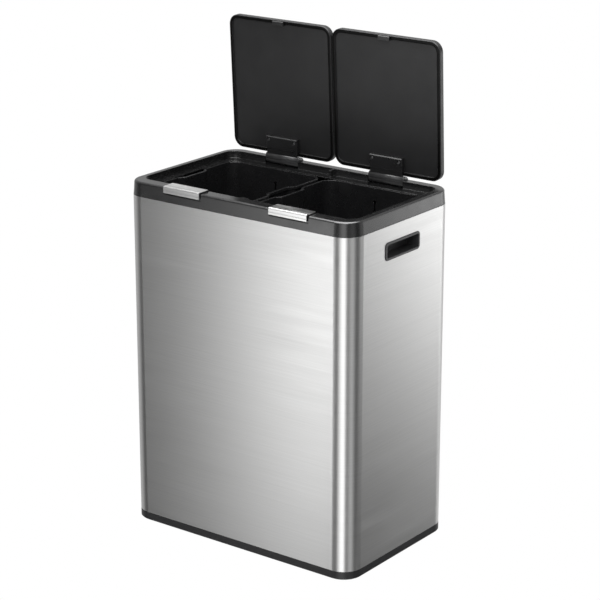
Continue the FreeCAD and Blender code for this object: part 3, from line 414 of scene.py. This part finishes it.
def cross_head(centre_x, centre_y):
    """Screw with a domed head and a cross recess, head down as under the shut lid."""
    points, faces = [], []

    def add(outline, height):
        """Adds an outline at one height and gives its first point's number."""
        points.extend((centre_x + x, centre_y + y, height) for x, y in outline)
        return len(points) - len(outline)

    top = SCREW_LEVEL + SCREW_HEIGHT
    shank = circle(SHANK_RADIUS, SCREW_SIDES)
    rows = [add(shank, top + SHANK_LENGTH), add(shank, top), add(circle(SCREW_RADIUS, SCREW_SIDES), top)]
    for share, depth in SCREW_DOME:
        rows.append(add(circle(SCREW_RADIUS * share, SCREW_SIDES), SCREW_LEVEL + depth))
    for here, there in zip(rows, rows[1:]):
        for side in range(SCREW_SIDES):
            after = (side + 1) % SCREW_SIDES
            faces.append((here + side, there + side, there + after, here + after))
    faces.append(tuple(rows[0] + side for side in range(SCREW_SIDES)))

    # the crown runs in to the recess, with two sides of its circle to each corner of the cross
    cross = cross_outline()
    corners = len(cross)
    mouth, floor, crown = add(cross, SCREW_LEVEL), add(cross, SCREW_LEVEL + CROSS_DEPTH), rows[-1]
    for side in range(SCREW_SIDES):
        after = (side + 1) % SCREW_SIDES
        near, far = mouth + side // 2, mouth + after // 2
        if near == far:
            faces.append((crown + side, near, crown + after))
        else:
            faces.append((crown + side, near, far, crown + after))
    for corner in range(corners):
        after = (corner + 1) % corners
        faces.append((mouth + corner, floor + corner, floor + after, mouth + after))
    # floor of the recess: a square in the middle and four arms
    faces.append((floor + 1, floor + 4, floor + 7, floor + 10))
    for first in range(0, corners, 3):
        faces.append(tuple(floor + (first + step) % corners for step in (-2, -1, 0, 1)))
    return points, faces


def bracket_screws(name, centre_x, material):
    """Two cross-head screws of a hinge plate, in place of the plain CAD ones."""
    points, faces = [], []
    for x in (centre_x - SCREW_X, centre_x + SCREW_X):
        more_points, more_faces = cross_head(x, SCREW_Y)
        faces += [tuple(len(points) + index for index in face) for face in more_faces]
        points += more_points
    screws = piece(f"cross_screws_{name}", lid_open(points), faces, material,
                   f"lid_{name}", smooth=False)
    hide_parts(f"bracket_screws_{name}")


def coil(start, along, across, radius, wire, length, turns):
    """Points and faces of a wound wire, from its start on the coil's axis, with its outside radius."""
    start, along, across = Vector(start), Vector(along), Vector(across)
    upright = along.cross(across)
    steps = COIL_STEPS * turns
    climb = length - wire
    points, faces = [], []
    for step in range(steps + 1):
        angle = 2 * math.pi * turns * step / steps
        outward = across * math.cos(angle) + upright * math.sin(angle)
        centre = start + outward * (radius - wire / 2) + along * (wire / 2 + climb * step / steps)
        points += [tuple(centre + outward * x + along * y) for x, y in circle(wire / 2, WIRE_SIDES)]
    for step in range(steps):
        for side in range(WIRE_SIDES):
            here, after = step * WIRE_SIDES + side, step * WIRE_SIDES + (side + 1) % WIRE_SIDES
            faces.append((here, here + WIRE_SIDES, after + WIRE_SIDES, after))
    last = steps * WIRE_SIDES
    faces += [tuple(range(WIRE_SIDES)), tuple(reversed(range(last, last + WIRE_SIDES)))]
    return points, faces


def springs(name, centre_x, material):
    """Wound springs in place of the plain tubes: one that lifts the bar and one round the hinge pin."""
    points, faces = coil((centre_x, BAR_SPRING_Y, BAR_SPRING_LOW), (0, 0, 1), (1, 0, 0), BAR_SPRING_RADIUS,
                         BAR_SPRING_WIRE, BAR_SPRING_HIGH - BAR_SPRING_LOW, BAR_SPRING_TURNS)
    lifter = piece(f"bar_coil_{name}", points, faces, material, "bin")
    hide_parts(f"bar_spring_{name}")
    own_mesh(lifter)

    end = (centre_x - HINGE_SPRING_LENGTH / 2, HINGE_Y, HINGE_Z)
    points, faces = coil(end, (1, 0, 0), (0, 1, 0), HINGE_SPRING_RADIUS, HINGE_SPRING_WIRE,
                         HINGE_SPRING_LENGTH, HINGE_SPRING_TURNS)
    thrower = piece(f"hinge_coil_{name}", points, faces, material, "bin")
    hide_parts(f"hinge_spring_{name}")


def dress(materials):
    for name, side in SIDES:
        centre_x = side * LID_CENTRE_X
        # the bead on each lid's lip carries painted shade as well as the lip's own black
        lid_border(name, centre_x, materials["border_plastic_and_shade"])
        # the knuckle's sleeve and front take a lighter grey that is partly painted sheen
        knuckle_sleeve(name, centre_x, materials["knuckle_plastic_and_sheen"])
        knuckle_front(name, centre_x, materials["knuckle_plastic_and_sheen"])
        bracket_screws(name, centre_x, materials["pin_steel"])
        springs(name, centre_x, materials["pin_steel"])


# ---- studio --------------------------------------------------------------------------------

def glow_panel(name, corner, across, up, strength, ramp_across, ramp_up):
    """Light panel that only shows in reflections, brighter or darker across its width and height."""
    corner, across, up = Vector(corner), Vector(across), Vector(up)
    mesh = bpy.data.meshes.new(name)
    mesh.from_pydata([corner, corner + across, corner + across + up, corner + up], [], [(0, 1, 2, 3)])
    layer = mesh.uv_layers.new(name="panel")
    for loop, place in enumerate(((0, 0), (1, 0), (1, 1), (0, 1))):
        layer.data[loop].uv = place
    panel = bpy.data.objects.new(name, mesh)
    bpy.context.scene.collection.objects.link(panel)
    panel.visible_camera = False
    panel.visible_diffuse = False
    panel.visible_shadow = False
    panel.visible_transmission = False

    material = bpy.data.materials.new(name)
    material.use_nodes = True
    nodes = material.node_tree.nodes
    nodes.clear()
    output = nodes.new("ShaderNodeOutputMaterial")
    glow = nodes.new("ShaderNodeEmission")
    place = nodes.new("ShaderNodeUVMap")
    place.uv_map = "panel"
    split = nodes.new("ShaderNodeSeparateXYZ")
    product = nodes.new("ShaderNodeMath")
    product.operation = "MULTIPLY"
    link(material, place.outputs["UV"], split.inputs["Vector"])
    for index, (axis, stops) in enumerate((("X", ramp_across), ("Y", ramp_up))):
        ramp = nodes.new("ShaderNodeValToRGB")
        set_stops(ramp.color_ramp, stops)
        link(material, split.outputs[axis], ramp.inputs["Fac"])
        link(material, ramp.outputs["Color"], product.inputs[index])
    link(material, product.outputs["Value"], glow.inputs["Color"])
    glow.inputs["Strength"].default_value = strength
    link(material, glow.outputs["Emission"], output.inputs["Surface"])
    mesh.materials.append(material)


def set_stops(ramp, stops):
    """Grey stops of a colour ramp, as (position, value) pairs."""
    ramp.interpolation = "LINEAR"
    while len(ramp.elements) > 1:
        ramp.elements.remove(ramp.elements[-1])
    for index, (position, value) in enumerate(stops):
        element = ramp.elements[0] if index == 0 else ramp.elements.new(position)
        element.position = position
        element.color = (value, value, value, 1.0)


def azimuth_share(degrees):
    """Share of a full turn, from in front of the bin round by its left, its back and its right."""
    return (degrees + 180.0) / 360.0


def make_world():
    """Room that is plain white to the camera and has light and dark walls in reflections."""
    world = bpy.data.worlds.new("studio")
    bpy.context.scene.world = world
    world.use_nodes = True
    nodes = world.node_tree.nodes
    nodes.clear()
    place = nodes.new("ShaderNodeTexCoord")
    split = nodes.new("ShaderNodeSeparateXYZ")
    turn = nodes.new("ShaderNodeMath")
    turn.operation = "ARCTAN2"
    share = nodes.new("ShaderNodeMapRange")
    share.inputs["From Min"].default_value = -math.pi
    share.inputs["From Max"].default_value = math.pi
    walls = nodes.new("ShaderNodeValToRGB")
    set_stops(walls.color_ramp, [(azimuth_share(degrees), value) for degrees, value in WALLS])
    link(world, place.outputs["Generated"], split.inputs["Vector"])
    link(world, split.outputs["X"], turn.inputs[0])
    link(world, split.outputs["Y"], turn.inputs[1])
    link(world, turn.outputs["Value"], share.inputs["Value"])
    link(world, share.outputs["Result"], walls.inputs["Fac"])
    room = nodes.new("ShaderNodeBackground")
    room.inputs["Strength"].default_value = WALLS_STRENGTH
    link(world, walls.outputs["Color"], room.inputs["Color"])
    dome, white = nodes.new("ShaderNodeBackground"), nodes.new("ShaderNodeBackground")
    for light, strength in ((dome, ROOM), (white, WHITE)):
        light.inputs["Color"].default_value = (1.0, 1.0, 1.0, 1.0)
        light.inputs["Strength"].default_value = strength
    path = nodes.new("ShaderNodeLightPath")
    glossy_mix = nodes.new("ShaderNodeMixShader")
    camera_mix = nodes.new("ShaderNodeMixShader")
    output = nodes.new("ShaderNodeOutputWorld")
    link(world, path.outputs["Is Glossy Ray"], glossy_mix.inputs["Fac"])
    link(world, dome.outputs["Background"], glossy_mix.inputs[1])
    link(world, room.outputs["Background"], glossy_mix.inputs[2])
    link(world, path.outputs["Is Camera Ray"], camera_mix.inputs["Fac"])
    link(world, glossy_mix.outputs["Shader"], camera_mix.inputs[1])
    link(world, white.outputs["Background"], camera_mix.inputs[2])
    link(world, camera_mix.outputs["Shader"], output.inputs["Surface"])


def make_floor():
    """Floor that sends light up like pale ground, but shows the camera a plain white without shadows."""
    half = FLOOR_SIZE / 2
    mesh = bpy.data.meshes.new("floor")
    corners = [(-half, -half, 0), (half, -half, 0), (half, half, 0), (-half, half, 0)]
    mesh.from_pydata(corners, [], [(0, 1, 2, 3)])
    floor = bpy.data.objects.new("floor", mesh)
    bpy.context.scene.collection.objects.link(floor)
    floor.visible_glossy = False
    material = bpy.data.materials.new("floor")
    material.use_nodes = True
    nodes = material.node_tree.nodes
    nodes.clear()
    output = nodes.new("ShaderNodeOutputMaterial")
    paint = nodes.new("ShaderNodeBsdfDiffuse")
    paint.inputs["Color"].default_value = (FLOOR_GREY, FLOOR_GREY, FLOOR_GREY, 1.0)
    glow = nodes.new("ShaderNodeEmission")
    glow.inputs["Strength"].default_value = WHITE
    path = nodes.new("ShaderNodeLightPath")
    mix = nodes.new("ShaderNodeMixShader")
    link(material, path.outputs["Is Camera Ray"], mix.inputs["Fac"])
    link(material, paint.outputs["BSDF"], mix.inputs[1])
    link(material, glow.outputs["Emission"], mix.inputs[2])
    link(material, mix.outputs["Shader"], output.inputs["Surface"])
    mesh.materials.append(material)


def soft_light(name, place, size, power):
    """Square softbox that points at the bin."""
    light = bpy.data.lights.new(name, "AREA")
    light.shape = "SQUARE"
    light.size = size
    light.energy = power
    lamp = bpy.data.objects.new(name, light)
    bpy.context.scene.collection.objects.link(lamp)
    lamp.location = place
    lamp.rotation_mode = "QUATERNION"
    lamp.rotation_quaternion = (Vector(LAMP_TARGET) - Vector(place)).to_track_quat("-Z", "Y")
    lamp.visible_camera = False
    lamp.visible_glossy = False


def make_studio():
    make_world()
    make_floor()
    for name, panel in PANELS.items():
        glow_panel(name, *panel)
    for name, lamp in LAMPS.items():
        soft_light(name, *lamp)


def make_camera():
    azimuth, elevation = math.radians(CAMERA_AZIMUTH), math.radians(CAMERA_ELEVATION)
    level = math.cos(elevation)
    back = Vector((math.sin(azimuth) * level, -math.cos(azimuth) * level, math.sin(elevation)))
    right = Vector((math.cos(azimuth), math.sin(azimuth), 0.0))
    up = back.cross(right)
    camera = bpy.data.objects.new("camera", bpy.data.cameras.new("camera"))
    bpy.context.scene.collection.objects.link(camera)
    aside = right * CAMERA_RIGHT + up * CAMERA_UP
    place = back * CAMERA_DISTANCE + aside + Vector((0, 0, LOOK_HEIGHT))
    turned = Matrix((right, up, back)).transposed().to_4x4()
    camera.matrix_world = Matrix.Translation(place) @ turned
    camera.data.lens = LENS
    camera.data.sensor_width = SENSOR
    camera.data.clip_end = FARTHEST
    bpy.context.scene.camera = camera
    bpy.context.scene.view_settings.view_transform = "Standard"


# ---- scene ---------------------------------------------------------------------------------

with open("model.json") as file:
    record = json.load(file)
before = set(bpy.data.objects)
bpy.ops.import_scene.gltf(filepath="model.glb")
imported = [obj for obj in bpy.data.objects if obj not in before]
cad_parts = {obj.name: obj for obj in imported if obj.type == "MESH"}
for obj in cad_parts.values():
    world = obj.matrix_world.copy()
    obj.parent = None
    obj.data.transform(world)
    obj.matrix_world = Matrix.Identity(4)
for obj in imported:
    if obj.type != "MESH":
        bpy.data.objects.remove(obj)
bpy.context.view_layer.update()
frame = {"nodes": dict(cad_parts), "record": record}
finishes = make_materials()
paint_nodes(frame, finishes)
dress(finishes)
make_studio()
make_camera()
